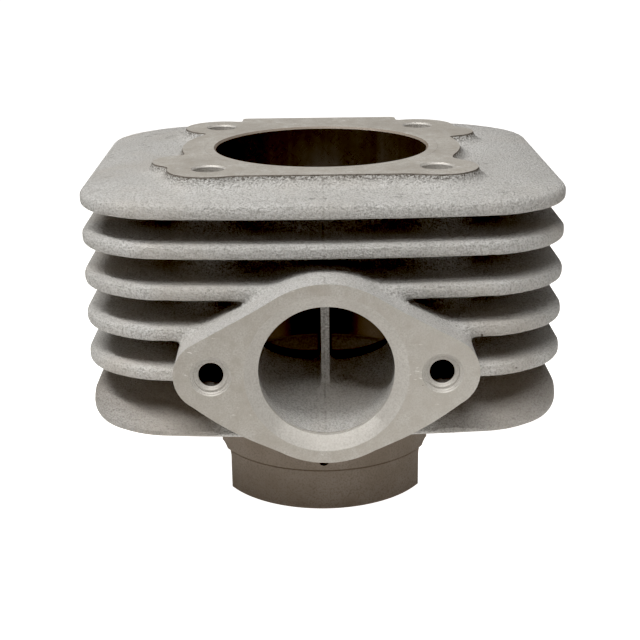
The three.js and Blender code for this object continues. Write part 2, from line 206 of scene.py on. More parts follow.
def fin_outline(x, y):
    """Plan of a fin: straight sides, bowed front and back edges, round corners."""
    middle = (FIN_FRONT + FIN_BACK) / 2
    side = np.where(y < middle, -1.0, 1.0)
    corner = np.where(y < middle, FIN_FRONT_CORNER, FIN_BACK_CORNER)
    run = HALF_WIDTH - corner / 2
    bow = FIN_BOW * np.clip(1.0 - (x / run) ** 2, 0.0, 1.0)
    flat_y = y - side * bow * np.clip(np.abs(y - middle) / (FIN_BACK - middle), 0.0, 1.0)
    return rectangle(x, flat_y - middle, HALF_WIDTH, (FIN_BACK - FIN_FRONT) / 2, corner)


def fins(x, y, z):
    """The crowned top plate and the four fins below it. A fin is a little thicker at its root."""
    outline = fin_outline(x, y)
    crown = PLATE_CROWN * np.sin(np.clip(-outline / CROWN_RUN, 0.0, 1.0) * math.pi / 2)
    plate = np.maximum(z - PLATE_Z - FIN_HALF_THICKNESS - crown, PLATE_Z - FIN_HALF_THICKNESS - z)
    field = rounded(outline, plate, FIN_TIP_ROUND)
    taper = FIN_TAPER * np.clip(-outline, 0.0, FIN_TAPER_RUN)
    for level in FIN_LEVELS:
        one = rounded(outline, np.abs(z - level) - FIN_HALF_THICKNESS - taper, FIN_TIP_ROUND)
        field = np.minimum(field, one)
    return field


def base_flange(x, y, z):
    """A pillow: its sides lean in, its top falls to the front and the back, and its edges are round."""
    lean = BASE_LEAN * np.maximum(z - BASE, 0.0)
    fall = BASE_FALL * np.maximum(np.abs(y) - BASE_FLAT, 0.0)
    top = z - (BASE_TOP - fall)
    bottom = BASE - BASE_EASE - z
    return rounded(fin_outline(x, y) + lean, np.maximum(top, bottom), BASE_ROUND)


def core(x, y, z):
    """What joins the fins: the wall round the liner, the transfer passages and the four stud bosses."""
    height = slab(z, BASE - STOCK, PLATE_Z)
    barrel = np.maximum(np.hypot(x, y) - CORE_RADIUS, height)
    half_x, half_y = TRANSFER_X + TRANSFER_WALL, TRANSFER_Y + TRANSFER_WALL
    bulge = np.maximum(rectangle(x, y, half_x, half_y, 7.5), height)
    bosses = np.maximum(np.hypot(np.abs(x) - STUD_X, np.abs(y) - STUD_Y) - STUD_BOSS, height)
    return blend(blend(barrel, bulge, 3.0), bosses, 3.0)


def deck_pad(x, y, z):
    """The raised deck: round, with a straight front, a tongue at the back, lobes and two ears."""
    plan = np.hypot(x, y) - PAD_RADIUS
    plan = blend(plan, rectangle(x, y + PAD_FRONT / 2, PAD_FRONT_HALF_WIDTH, PAD_FRONT / 2, 1.5), 1.0)
    plan = blend(plan, rectangle(x, y - PAD_BACK / 2, PAD_BACK_HALF_WIDTH, PAD_BACK / 2, 1.2), 1.0)
    plan = blend(plan, np.hypot(np.abs(x) - STUD_X, np.abs(y) - STUD_Y) - PAD_LOBE, 1.5)
    for side in (-1.0, 1.0):
        plan = blend(plan, np.hypot(x - side * EAR_X, y - side * EAR_Y) - EAR_RADIUS, 2.0)
    wall = (plan - (DECK - z) * PAD_DRAFT) / math.hypot(1.0, PAD_DRAFT)
    return np.maximum(wall, slab(z, PLATE_Z, DECK + STOCK))


def flange_outline(x, z):
    """Two circles of different size on each side, and the lines that touch both."""
    up = z - PORT_Z
    large = np.where(up > 0, FLANGE_UPPER, FLANGE_LOWER)
    along, across = np.abs(x), np.abs(up)
    lean = (large - FLANGE_END) / BOLT_X
    straight = np.sqrt(1.0 - lean * lean)
    k = straight * along - lean * across
    middle = np.hypot(along, across) - large
    end = np.hypot(along - BOLT_X, across) - FLANGE_END
    edge = straight * across + lean * along - large
    share = np.clip(k / (straight * BOLT_X), 0.0, 1.0)
    edge = edge - np.where(up > 0, 0.0, FLANGE_BULGE) * 4.0 * share * (1.0 - share)
    return np.where(k < 0, middle, np.where(k > straight * BOLT_X, end, edge))


def exhaust(x, y, z):
    """The two-bolt flange, the duct behind it, a web between the bolt bosses, and the bosses."""
    outline = flange_outline(x, z)
    flange = rounded(outline, slab(y, -FACE - STOCK, -FACE + FLANGE_DEPTH), 0.7)
    duct = np.maximum(np.hypot(x, z - PORT_Z) - DUCT_RADIUS, slab(y, -FACE - STOCK, -BORE_RADIUS))
    jacket = np.maximum(exhaust_passage(x, y, z) - DUCT_WALL, slab(y, -FACE + 3.0, -BORE_RADIUS))
    duct = blend(duct, jacket, 1.0)
    web = np.maximum(rectangle(x, z - PORT_Z, BOLT_X, FLANGE_END, 2.0), slab(y, -FACE, -STUD_Y))
    boss = np.hypot(np.abs(x) - BOLT_X, z - PORT_Z) - FLANGE_END
    boss = np.maximum(boss, slab(y, -FACE, -FACE + BOLT_DEPTH + 4.0))
    return np.minimum(blend(flange, np.minimum(duct, web), 1.5), boss)


def exhaust_passage(x, y, z):
    """Round at the flange, wider, flatter and squarer at the liner's windows."""
    mouth, throat = -FACE, -BORE_RADIUS
    t = np.clip((y - mouth) / (throat - mouth), 0.0, 1.0)
    t = t * t * (3.0 - 2.0 * t)
    centre = PORT_Z + t * (THROAT_Z - PORT_Z)
    half_x = PORT_RADIUS + t * (THROAT_HALF_WIDTH - PORT_RADIUS)
    half_z = PORT_RADIUS + t * (THROAT_HALF_HEIGHT - PORT_RADIUS)
    power = 2.0 + 1.6 * t
    across, up = np.abs(x / half_x), np.abs((z - centre) / half_z)
    reach = (across ** power + up ** power) ** (1.0 / power) - 1.0
    return np.maximum(reach * np.minimum(half_x, half_z), slab(y, mouth - OVERRUN, -PASSAGE_END))


def casting_field(x, y, z):
    """The whole casting before its faces and holes are machined."""
    ribs = blend(fins(x, y, z), base_flange(x, y, z), 0.5)
    field = blend(ribs, core(x, y, z), 3.0)
    field = blend(field, exhaust(x, y, z), 1.4)
    field = blend(field, deck_pad(x, y, z), 2.4)
    passages = np.maximum(
        rectangle(x, y, TRANSFER_X, TRANSFER_Y, 4.0), slab(z, BASE - OVERRUN, TRANSFER_TOP))
    field = carve(field, passages, 1.0)
    field = carve(field, exhaust_passage(x, y, z), 0.5)
    rib = np.maximum(np.abs(x) - RIB_HALF_THICKNESS, slab(y, -RIB_FRONT, -BORE_RADIUS))
    rib = np.maximum(rib, slab(z, PORT_Z - PORT_RADIUS - 1.0, PORT_Z + PORT_RADIUS + 1.0))
    return blend(field, rib, 2.4)


# ---- Meshes ---------------------------------------------------------------------------------------
def surface_net(field, low, step):
    """Points and quads on the zero surface of a field sampled on a grid, one point per crossed cell."""
    cells = tuple(n - 1 for n in field.shape)
    total = np.zeros(cells + (3,))
    count = np.zeros(cells)
    quads = []
    for axis in range(3):
        b, c = [other for other in range(3) if other != axis]
        for shift_b in (0, 1):
            for shift_c in (0, 1):
                window = [slice(None)] * 3
                window[b] = slice(shift_b, shift_b + cells[b])
                window[c] = slice(shift_c, shift_c + cells[c])
                window[axis] = slice(0, cells[axis])
                start = field[tuple(window)]
                window[axis] = slice(1, cells[axis] + 1)
                stop = field[tuple(window)]
                crossed = (start < 0) != (stop < 0)
                share = np.where(crossed, start / np.where(crossed, start - stop, 1.0), 0.0)
                total[..., axis] += share
                total[..., b] += crossed * shift_b
                total[..., c] += crossed * shift_c
                count += crossed
    used = count > 0
    number = np.full(cells, -1)
    number[used] = np.arange(used.sum())
    points = (np.argwhere(used) + total[used] / count[used][:, None]) * step + low
    for axis in range(3):
        b, c = (axis + 1) % 3, (axis + 2) % 3
        start = np.take(field, range(cells[axis]), axis) < 0
        stop = np.take(field, range(1, cells[axis] + 1), axis) < 0
        for rising in (True, False):
            hit = (start & ~stop) if rising else (~start & stop)
            at = np.argwhere(hit)
            inner = np.all((at[:, [b, c]] > 0) & (at[:, [b, c]] < [cells[b], cells[c]]), axis=1)
            at = at[inner]
            ring = []
            for step_b, step_c in ((-1, -1), (0, -1), (0, 0), (-1, 0)):
                cell = at.copy()
                cell[:, b] += step_b
                cell[:, c] += step_c
                ring.append(number[tuple(cell.T)])
            quad = np.stack(ring, 1)
            quads.append(quad if rising else quad[:, ::-1])
    return points, np.concatenate(quads)


def settle(points, field, rounds=3, limit=0.4):
    """Moves points on to the zero surface of the exact field."""
    nudge = 0.02
    for _ in range(rounds):
        value = field(*points.T)
        slope = np.stack([
            (field(*(points + nudge * axis).T) - field(*(points - nudge * axis).T)) / (2 * nudge)
            for axis in np.eye(3)
        ], 1)
        steep = np.maximum((slope ** 2).sum(1), 0.05)
        move = -slope * (value / steep)[:, None]
        length = np.linalg.norm(move, axis=1)
        points = points + move * np.minimum(1.0, limit / np.maximum(length, 1e-9))[:, None]
    return points


def mesh_object(name, points, faces):
    """A mesh object from points in millimetres."""
    mesh = bpy.data.meshes.new(name)
    corners = [[int(corner) for corner in face] for face in faces]
    mesh.from_pydata((np.asarray(points) * MM).tolist(), [], corners)
    mesh.validate()
    mesh.update()
    thing = bpy.data.objects.new(name, mesh)
    bpy.context.scene.collection.objects.link(thing)
    return thing


def apply_modifiers(thing):
    """Replaces an object's mesh by the result of its modifiers."""
    bpy.context.view_layer.update()
    graph = bpy.context.evaluated_depsgraph_get()
    mesh = bpy.data.meshes.new_from_object(thing.evaluated_get(graph))
    thing.modifiers.clear()
    thing.data = mesh


def cut(thing, cutters):
    """Takes the cutters away from an object."""
    for cutter in cutters:
        step = thing.modifiers.new("cut", "BOOLEAN")
        step.operation = "DIFFERENCE"
        step.solver = "MANIFOLD"
        step.object = cutter
    apply_modifiers(thing)
    for cutter in cutters:
        bpy.data.objects.remove(cutter)


def turned(name, profile, facets):
    """A solid of revolution about Z from a closed (radius, height) profile with no point on the axis."""
    count = len(profile)
    angles = np.arange(facets) * 2 * math.pi / facets
    radius, height = np.array(profile).T
    points = np.stack([
        np.outer(np.cos(angles), radius), np.outer(np.sin(angles), radius),
        np.tile(height, (facets, 1)),
    ], 2).reshape(-1, 3)
    i, j = np.meshgrid(np.arange(facets), np.arange(count), indexing="ij")
    after_i, after_j = (i + 1) % facets, (j + 1) % count
    faces = np.stack([i * count + j, after_i * count + j, after_i * count + after_j, i * count + after_j], 2)
    return mesh_object(name, points, faces.reshape(-1, 4))


def cutter_cone(radius0, radius1, start, end, facets=96):
    """A closed cone or cylinder from start to end."""
    start, end = Vector(start), Vector(end)
    turn = (end - start).to_track_quat("Z", "Y").to_matrix()
    points, faces = [], []
    for radius, centre in ((radius0, start), (radius1, end)):
        for i in range(facets):
            a = 2 * math.pi * i / facets
            points.append(centre + turn @ Vector((radius * math.cos(a), radius * math.sin(a), 0)))
    faces.append(list(range(facets))[::-1])
    faces.append(list(range(facets, 2 * facets)))
    for i in range(facets):
        j = (i + 1) % facets
        faces.append([i, j, facets + j, facets + i])
    mesh = bpy.data.meshes.new("cutter")
    mesh.from_pydata([tuple(p * MM) for p in points], [], faces)
    thing = bpy.data.objects.new("cutter", mesh)
    bpy.context.scene.collection.objects.link(thing)
    return thing


def cutter_box(low, high):
    """A box between two opposite corners."""
    x0, y0, z0 = low
    x1, y1, z1 = high
    points = [(x, y, z) for x in (x0, x1) for y in (y0, y1) for z in (z0, z1)]
    faces = [(0, 1, 3, 2), (4, 6, 7, 5), (0, 4, 5, 1), (2, 3, 7, 6), (0, 2, 6, 4), (1, 5, 7, 3)]
    return mesh_object("cutter", points, faces)


def countersink_rings():
    """Outer radius, inner radius and depth of each ring that the tool left, from the face to the thread."""
    count = int((COUNTERSINK - THREAD_MINOR) / TOOL_STEP) + 1
    radii = [COUNTERSINK - TOOL_STEP * i for i in range(count)]
    return [(radius, radius - 0.7 * TOOL_STEP, TOOL_FEED * (i + 1)) for i, radius in enumerate(radii)]


def machine_casting(skin):
    """Cuts the faces and holes that are machined on the real casting."""
    reach = 80.0
    low, high = BASE - 20.0, DECK + 20.0
    under, over = BASE - OVERRUN, DECK + OVERRUN
    overlap = 0.03
    flare = (BEVEL_RADIUS - PORT_RADIUS) / BEVEL_DEPTH
    seat = LINER_RADIUS + JOINT
    hole = INSERT_RADIUS + JOINT
    bevel_end = -FACE + BEVEL_DEPTH
    cutters = [
        cutter_box((-reach, -reach, DECK), (reach, reach, high)),
        cutter_box((-reach, -reach, low), (reach, -FACE, high)),
        cutter_box((-reach, FIN_FRONT - FIN_BOW, low), (reach, reach, BASE)),
        cutter_cone(seat, seat, (0, 0, under), (0, 0, over), 192),
        cutter_cone(BEVEL_RADIUS + flare, PORT_RADIUS, (0, -FACE - 1, PORT_Z), (0, bevel_end, PORT_Z)),
        cutter_cone(PORT_RADIUS, PORT_RADIUS, (0, -FACE, PORT_Z), (0, bevel_end + PORT_LAND, PORT_Z)),
    ]
    for x in (-STUD_X, STUD_X):
        for y in (-STUD_Y, STUD_Y):
            mouth = STUD_HOLE + STUD_CHAMFER
            cutters.append(cutter_cone(STUD_HOLE, STUD_HOLE, (x, y, under), (x, y, over), 64))
            cutters.append(cutter_cone(mouth + 1, mouth - 1, (x, y, DECK + 1), (x, y, DECK - 1), 64))
    for x in (-BOLT_X, BOLT_X):
        bottom = -FACE + BOLT_DEPTH
        point = bottom - 0.1
        cutters.append(cutter_cone(hole, hole, (x, -FACE - 5, PORT_Z), (x, bottom, PORT_Z), 64))
        cutters.append(cutter_cone(hole, 0.05, (x, point, PORT_Z), (x, point + DRILL_POINT, PORT_Z), 64))
        for radius, inner, depth in countersink_rings():
            if radius > INSERT_RADIUS:
                start = (x, -FACE + depth - TOOL_FEED - overlap, PORT_Z)
                cutters.append(cutter_cone(radius, inner, start, (x, -FACE + depth, PORT_Z), 64))
    cut(skin, cutters)


def face_table(thing):
    """Centres in millimetres and normals of a mesh's faces."""
    mesh = thing.data
    centres = np.empty(len(mesh.polygons) * 3)
    normals = np.empty(len(mesh.polygons) * 3)
    mesh.polygons.foreach_get("center", centres)
    mesh.polygons.foreach_get("normal", normals)
    return centres.reshape(-1, 3) / MM, normals.reshape(-1, 3)


def shade(thing, materials, index, sharp=30.0):
    """Gives each face its material, smooth shading, and hard edges above an angle of sharp degrees."""
    mesh = thing.data
    mesh.materials.clear()
    for material in materials:
        mesh.materials.append(material)
    mesh.polygons.foreach_set("material_index", np.asarray(index, np.int32))
    mesh.polygons.foreach_set("use_smooth", np.ones(len(mesh.polygons), bool))
    mesh.set_sharp_from_angle(angle=math.radians(sharp))
    mesh.update()


def paint_casting(skin):
    """Cast skin everywhere, except on the milled faces and in the turned or drilled holes."""
    (x, y, z), (_, ny, nz) = (table.T for table in face_table(skin))
    milled = (nz > 0.99) & (z > DECK - NEAR)
    milled |= (ny < -0.99) & (y < -FACE + NEAR)
    milled |= (nz < -0.99) & (np.abs(z - BASE) < NEAR) & (y > FIN_FRONT - FIN_BOW - 1.0)
    from_port = np.hypot(x, z - PORT_Z)
    from_bolt = np.hypot(np.abs(x) - BOLT_X, z - PORT_Z)
    turned_y = (y < -FACE + BEVEL_DEPTH + PORT_LAND + 0.1) & (from_port < BEVEL_RADIUS + NEAR)
    turned_y |= (y < -FACE + BOLT_DEPTH + DRILL_POINT + 1.0) & (from_bolt < COUNTERSINK + NEAR)
    turned_z = np.hypot(np.abs(x) - STUD_X, np.abs(y) - STUD_Y) < STUD_HOLE + 2 * STUD_CHAMFER
    turned_z |= np.hypot(x, y) < LINER_RADIUS + 0.1
    kind = np.select([milled, turned_y, turned_z], [1, 2, 3], 0)
    shade(skin, [cast_skin(), milled_face(), turned_metal("y"), turned_metal("z")], kind)


def prism(outline, place):
    """A closed prism: place(u, v, end) puts each outline point at end 0 and end 1."""
    count = len(outline)
    points = [place(u, v, end) for end in (0, 1) for u, v in outline]
    faces = [list(range(count))[::-1], list(range(count, 2 * count))]
    faces += [[i, (i + 1) % count, count + (i + 1) % count, count + i] for i in range(count)]
    thing = mesh_object("cutter", points, faces)
    face_outwards(thing)
    return thing


def face_outwards(thing):
    """Turns a closed mesh right side out."""
    grid = bmesh.new()
    grid.from_mesh(thing.data)
    bmesh.ops.recalc_face_normals(grid, faces=grid.faces)
    grid.to_mesh(thing.data)
    grid.free()


def curve(start, control, end, steps=14):
    """Points of a quadratic curve, without its last one."""
    t = (np.arange(steps) / steps)[:, None]
    start, control, end = (np.array(p, float) for p in (start, control, end))
    return [tuple(p) for p in start * (1 - t) ** 2 + 2 * control * t * (1 - t) + end * t * t]


def exhaust_window(side):
    """A window with a sagging sill that slopes down and outwards, and a rounded outer top corner."""
    inner, outer, top, sill = WINDOW_INNER, WINDOW_OUTER, WINDOW_TOP, WINDOW_SILL
    outline = curve((inner, sill), ((inner + outer) / 2, sill - 2 * WINDOW_SAG), (outer, sill))
    outline += curve((outer, sill), (outer, top), (outer, top - WINDOW_CORNER), 1)
    outline += curve((outer, top - WINDOW_CORNER), (outer, top), (outer - WINDOW_CORNER, top))
    outline += [(outer - WINDOW_CORNER, top), (inner, top)]
    outside, inside = LINER_RADIUS + 2.0, 10.0

    def place(u, v, end):
        return (side * u, -inside if end else -outside, v if end else v - (outside - BORE_RADIUS))
    return prism(outline, place)


def transfer_window(side):
    """A window in the liner's side, with small round corners."""
    half, low, high, corner = TRANSFER_WINDOW_HALF, TRANSFER_SILL, TRANSFER_TOP, TRANSFER_WINDOW_CORNER
    outline = []
    for sy, z, dz in ((1, low, 1), (1, high, -1), (-1, high, -1), (-1, low, 1)):
        before, after = (sy * (half - corner), z), (sy * half, z + dz * corner)
        if (sy > 0) != (dz > 0):
            before, after = after, before
        outline += curve(before, (sy * half, z), after, 6) + [after]
    return prism(outline, lambda u, v, end: (side * (BORE_RADIUS / 2 if end else LINER_RADIUS + 2), u, v))


def arc(centre_u, centre_v, radius, start, end, steps=16):
    """Points of a circle's arc between two angles in degrees."""
    angles = np.radians(np.linspace(start, end, steps))
    return [(centre_u + radius * math.cos(a), centre_v + radius * math.sin(a)) for a in angles]


def skirt_notch(side):
    """Wide below with round shoulders, and a narrower arch above."""
    half, corner = NOTCH_HALF_WIDTH, NOTCH_CORNER
    below = -5.0
    outline = [(half, below)] + arc(half - corner, NOTCH_SHOULDER - corner, corner, 0, 90)
    outline += arc(0, NOTCH_SPRING, NOTCH_ARCH, 0, 180, 30)
    outline += arc(corner - half, NOTCH_SHOULDER - corner, corner, 90, 180) + [(-half, below)]
    return prism(outline, lambda u, v, end: (side * (5.0 if end else LINER_RADIUS + 2), u, v))


def liner():
    """The iron liner: bore, windows, and the notched skirt with a groove at its step."""
    chamfer = BORE_CHAMFER
    outside_split = BASE - 0.2
    profile = [
        (RELIEF_RADIUS, 0.4), (RELIEF_RADIUS, RELIEF_Z - 0.8), (BORE_RADIUS, RELIEF_Z),
        (BORE_RADIUS, DECK - chamfer), (BORE_RADIUS + chamfer, DECK), (LINER_RADIUS, DECK),
        (LINER_RADIUS, outside_split), (LINER_RADIUS, SKIRT_STEP + 0.3),
        (SKIRT_RADIUS - 0.25, SKIRT_STEP + 0.15), (SKIRT_RADIUS, SKIRT_STEP - 0.2), (SKIRT_RADIUS, 0.4),
        (SKIRT_RADIUS - 0.4, 0.0), (RELIEF_RADIUS + 0.4, 0.0),
    ]
    tube = turned("cylinder_liner_honed", profile[::-1], 192)
    face_outwards(tube)
    outer_end, inner_end = (DRILLING_X, -LINER_RADIUS - 2, DRILLING_Z), (DRILLING_X, -15, DRILLING_Z)
    cutters = [shape(side) for shape in (exhaust_window, transfer_window, skirt_notch) for side in (-1, 1)]
    cutters.append(cutter_cone(DRILLING_RADIUS, DRILLING_RADIUS, outer_end, inner_end, 32))
    cut(tube, cutters)
    (x, y, z), (nx, ny, nz) = (table.T for table in face_table(tube))
    radius = np.hypot(x, y)
    inward = -(nx * x + ny * y) / radius
    honed = (inward > 0.9) & (radius < BORE_RADIUS + 0.05) & (z > RELIEF_Z - 0.1)
    top = (nz > 0.99) & (z > DECK - 0.1)
    # Painted shade: the window walls, the oil drilling and the bore's wider lower end get near-black iron.
    shade_painted = (z > outside_split) & (z < DECK - 1.0)
    shade_painted |= (inward > 0.5) & (radius < RELIEF_RADIUS + 0.1) & (z < BASE + 1.0)
    shade_painted |= np.hypot(x - DRILLING_X, z - DRILLING_Z) < DRILLING_RADIUS + NEAR
    kind = np.select([honed, top, shade_painted], [1, 2, 3], 0)
    shade(tube, [turned_iron(), honed_bore(), milled_face(), shade_painted_iron()], kind)
    return tube


def thread_insert(name, side):
    """A bush with an M6 thread cut inside. Its mouth carries on the rings of the countersink."""
    facets, rows_a_turn = 48, 6
    angles = 2 * np.pi * np.arange(facets) / facets
    steps = [ring for ring in countersink_rings() if ring[0] < INSERT_RADIUS]
    front = -FACE + steps[0][2] - TOOL_FEED
    rings = [(np.full(facets, INSERT_RADIUS), INSERT_BACK), (np.full(facets, INSERT_RADIUS), front)]
    for radius, inner, depth in steps:
        rings.append((np.full(facets, radius), -FACE + depth - TOOL_FEED))
        rings.append((np.full(facets, inner), -FACE + depth))
    throat = -FACE + steps[-1][2] + 0.1
    for row in range(int((INSERT_BACK - throat) * rows_a_turn / THREAD_PITCH)):
        along = throat + THREAD_PITCH * row / rows_a_turn
        turn = (along / THREAD_PITCH - angles / (2 * np.pi)) % 1.0
        rings.append((THREAD_MINOR + THREAD_GROOVE * np.abs(2 * turn - 1), along))
    rings.append((np.full(facets, THREAD_MINOR), INSERT_BACK))
    points, faces = [], []
    for i, (radii, along) in enumerate(rings):
        for r, angle in zip(radii, angles):
            points.append((side * BOLT_X + r * math.cos(angle), along, PORT_Z + r * math.sin(angle)))
        for j in range(facets):
            k, m = (j + 1) % facets, (i + 1) % len(rings)
            faces.append((i * facets + j, i * facets + k, m * facets + k, m * facets + j))
    bush = mesh_object(name, points, faces)
    face_outwards(bush)
    threaded = face_table(bush)[0][:, 1] > throat
    shade(bush, [turned_metal("y"), insert_steel()], threaded, 40.0)
    return bush


def casting():
    """The casting: a sampled field, pulled on to its exact surface, thinned, machined and painted."""
    low = np.array([-HALF_WIDTH - 2, -FACE - 3, BASE - 8])
    high = np.array([HALF_WIDTH + 2, BACK + 2, DECK + 3])
    axes = [np.arange(a, b, GRID) for a, b in zip(low, high)]
    x, y, z = np.meshgrid(*axes, indexing="ij", sparse=True)
    x, y, z = (np.broadcast_to(v, tuple(len(a) for a in axes)) for v in (x, y, z))
    points, quads = surface_net(casting_field(x, y, z), low, GRID)
    points = settle(points, casting_field)
    skin = mesh_object("barrel_casting_skin", points, quads)
    thin = skin.modifiers.new("thin", "DECIMATE")
    thin.ratio = SKIN_TRIANGLES / (2 * len(quads))
    apply_modifiers(skin)
    machine_casting(skin)
    paint_casting(skin)
    return skin


# ---- Materials ------------------------------------------------------------------------------------
def once(build):
    """Builds a material once for each choice of settings, so that several pieces share it."""
    made = {}

    def get(*settings):
        if settings not in made:
            made[settings] = build(*settings)
        return made[settings]
    return get


class Nodes:
    """Short calls for building a material's node tree. Positions are in millimetres."""

    def __init__(self, name):
        self.material = bpy.data.materials.new(name)
        self.material.use_nodes = True
        self.tree = self.material.node_tree
        self.tree.nodes.clear()
        self.surface = self.add("ShaderNodeBsdfPrincipled")
        output = self.add("ShaderNodeOutputMaterial")
        self.tree.links.new(self.surface.outputs[0], output.inputs[0])
        place = self.add("ShaderNodeTexCoord").outputs["Object"]
        self.place = self.vector("SCALE", place, scale=1.0 / MM)
        split = self.add("ShaderNodeSeparateXYZ")
        self.feed(split, 0, self.place)
        self.x, self.y, self.z = split.outputs

    def add(self, kind, **settings):
        """A new node with the given settings."""
        node = self.tree.nodes.new(kind)
        for key, value in settings.items():
            setattr(node, key, value)
        return node

    def feed(self, node, socket, value):
        """Links an output, or sets a value, to a node's input."""
        target = node.inputs[socket]
        if isinstance(value, bpy.types.NodeSocket):
            self.tree.links.new(value, target)
        else:
            target.default_value = value

    def vector(self, operation, a, b=None, scale=None):
        node = self.add("ShaderNodeVectorMath", operation=operation)
        self.feed(node, 0, a)
        if b is not None:
            self.feed(node, 1, b)
        if scale is not None:
            self.feed(node, "Scale", scale)
        return node.outputs[0]

    def math(self, operation, a, b=0.0):
        node = self.add("ShaderNodeMath", operation=operation)
        self.feed(node, 0, a)
        self.feed(node, 1, b)
        return node.outputs[0]

    def noise(self, size, detail=3.0, place=None, rough=0.55):
        """Noise whose features are about size millimetres across."""
        node = self.add("ShaderNodeTexNoise")
        self.feed(node, "Vector", self.place if place is None else place)
        self.feed(node, "Scale", 1.0 / size)
        self.feed(node, "Detail", detail)
        self.feed(node, "Roughness", rough)
        return node.outputs[0]

    def span(self, value, low, high, out_low=0.0, out_high=1.0):
        """Carries a value's range from low to high over to another range, and clamps it there."""
        node = self.add("ShaderNodeMapRange")
        for socket, number in zip(range(5), (value, low, high, out_low, out_high)):
            self.feed(node, socket, number)
        return node.outputs[0]

    def mix(self, share, a, b):
        """Colour a where share is 0, and b where it is 1."""
        node = self.add("ShaderNodeMix", data_type="RGBA")
        self.feed(node, 0, share)
        self.feed(node, 6, (*a, 1.0) if isinstance(a, tuple) else a)
        self.feed(node, 7, (*b, 1.0) if isinstance(b, tuple) else b)
        return node.outputs[2]

    def combine(self, x, y, z):
        node = self.add("ShaderNodeCombineXYZ")
        for socket, value in enumerate((x, y, z)):
            self.feed(node, socket, value)
        return node.outputs[0]

    def bump(self, height, depth, strength=1.0, below=None):
        """Bump whose full height is depth millimetres."""
        node = self.add("ShaderNodeBump")
        self.feed(node, "Strength", strength)
        self.feed(node, "Distance", depth * MM)
        self.feed(node, "Height", height)
        if below is not None:
            self.feed(node, "Normal", below)
        return node.outputs[0]

    def finish(self, color, roughness, metallic, normal):
        """Feeds the surface and returns the finished material."""
        self.feed(self.surface, "Base Color", color)
        self.feed(self.surface, "Roughness", roughness)
        self.feed(self.surface, "Metallic", metallic)
        self.feed(self.surface, "Normal", normal)
        return self.material


def cast_skin():
    """Blasted aluminium: a fine grain, a few pits, stains, the mould line, painted shade on the base flange,
    and grime with painted shade round the deck pad.
    """
    n = Nodes("cast_skin")
    grain = n.noise(0.38, 3.0, rough=0.6)
    coarse = n.noise(0.95, 2.0)
    patches = n.noise(14.0, 3.0)
    pits = n.span(n.noise(1.6, 1.0), 0.18, 0.215)
    tone = n.mix(n.span(patches, 0.35, 0.65), (0.635, 0.623, 0.603), (0.70, 0.693, 0.68))
    tone = n.mix(n.span(grain, 0.36, 0.56), (0.42, 0.41, 0.39), tone)
    tone = n.mix(n.span(n.noise(22.0, 2.0), 0.5, 0.7, 0.0, 0.4), tone, (0.58, 0.53, 0.47))
    tone = n.mix(pits, (0.16, 0.145, 0.12), tone)
    # The line where the two halves of the mould met.
    from_line = n.math("ABSOLUTE", n.math("ADD", n.x, 0.2))
    line = n.math("MULTIPLY", n.span(from_line, 0.28, 0.12), n.span(n.noise(0.9, 2.0), 0.42, 0.58))
    tone = n.mix(n.math("MULTIPLY", line, 0.4), tone, (0.20, 0.185, 0.165))
    # Painted shade on the base flange, below the last fin, where that fin's shadow falls.
    above, below = n.span(n.z, BASE - 3.0, BASE + 5.0), n.span(n.z, BASE_TOP + 2.0, BASE_TOP + 1.0)
    beside_port = n.span(n.math("ABSOLUTE", n.x), 21.0, 24.0)
    shade_under_last_fin = n.math("MULTIPLY", n.math("MULTIPLY", above, below), beside_port)
    tone = n.mix(n.math("MULTIPLY", shade_under_last_fin, 0.55), tone, (0.25, 0.215, 0.185))
    # Grime and painted shade along the deck pad's wall: a thin dark line at its top, and fine dark spots
    # below it.
    near_edge = n.span(n.z, DECK - 1.5, DECK - 0.5)
    grime_and_shade_spots = n.math("MULTIPLY", near_edge, n.span(n.noise(0.5, 3.0), 0.52, 0.44))
    tone = n.mix(grime_and_shade_spots, tone, (0.20, 0.185, 0.165))
    tone = n.mix(n.span(n.z, DECK - 0.35, DECK - 0.2), tone, (0.20, 0.18, 0.155))
    # Faint scuffs on the top plate.
    scuff = n.noise(1.2, 5.0, n.vector("MULTIPLY", n.place, (0.28, 1.0, 0.3)), rough=0.7)
    worn = n.math("MULTIPLY", n.span(scuff, 0.58, 0.67, 0.0, 0.85), n.span(n.noise(17.0, 1.0), 0.51, 0.61))
    worn = n.math("MULTIPLY", worn, n.span(n.z, DECK - 4.2, DECK - 3.4))
    tone = n.mix(worn, tone, (0.17, 0.16, 0.15))
    bump = n.bump(coarse, 0.42, 1.0)
    bump = n.bump(grain, 0.5, 1.0, bump)
    return n.finish(tone, n.span(grain, 0.3, 0.7, 0.62, 0.8), 0.25, bump)


@once
def turned_metal(axis):
    """Aluminium cut by a tool that turns about the given axis, which leaves rings along that axis."""
    n = Nodes("turned_metal_" + axis)
    grain = n.noise(0.4, 3.0, rough=0.7)
    patches = n.noise(7.0, 2.0)
    depth = {"y": n.y, "z": n.z}[axis]
    rings = n.noise(0.3, 2.0, n.combine(0.0, 0.0, depth))
    tone = n.mix(n.span(patches, 0.35, 0.65), (0.57, 0.55, 0.515), (0.64, 0.62, 0.585))
    tone = n.mix(n.span(grain, 0.3, 0.6), (0.47, 0.445, 0.41), tone)
    bump = n.bump(grain, 0.05, 0.8)
    bump = n.bump(rings, 0.12, 0.7, bump)
    return n.finish(tone, n.span(grain, 0.3, 0.7, 0.5, 0.65), 0.3, bump)


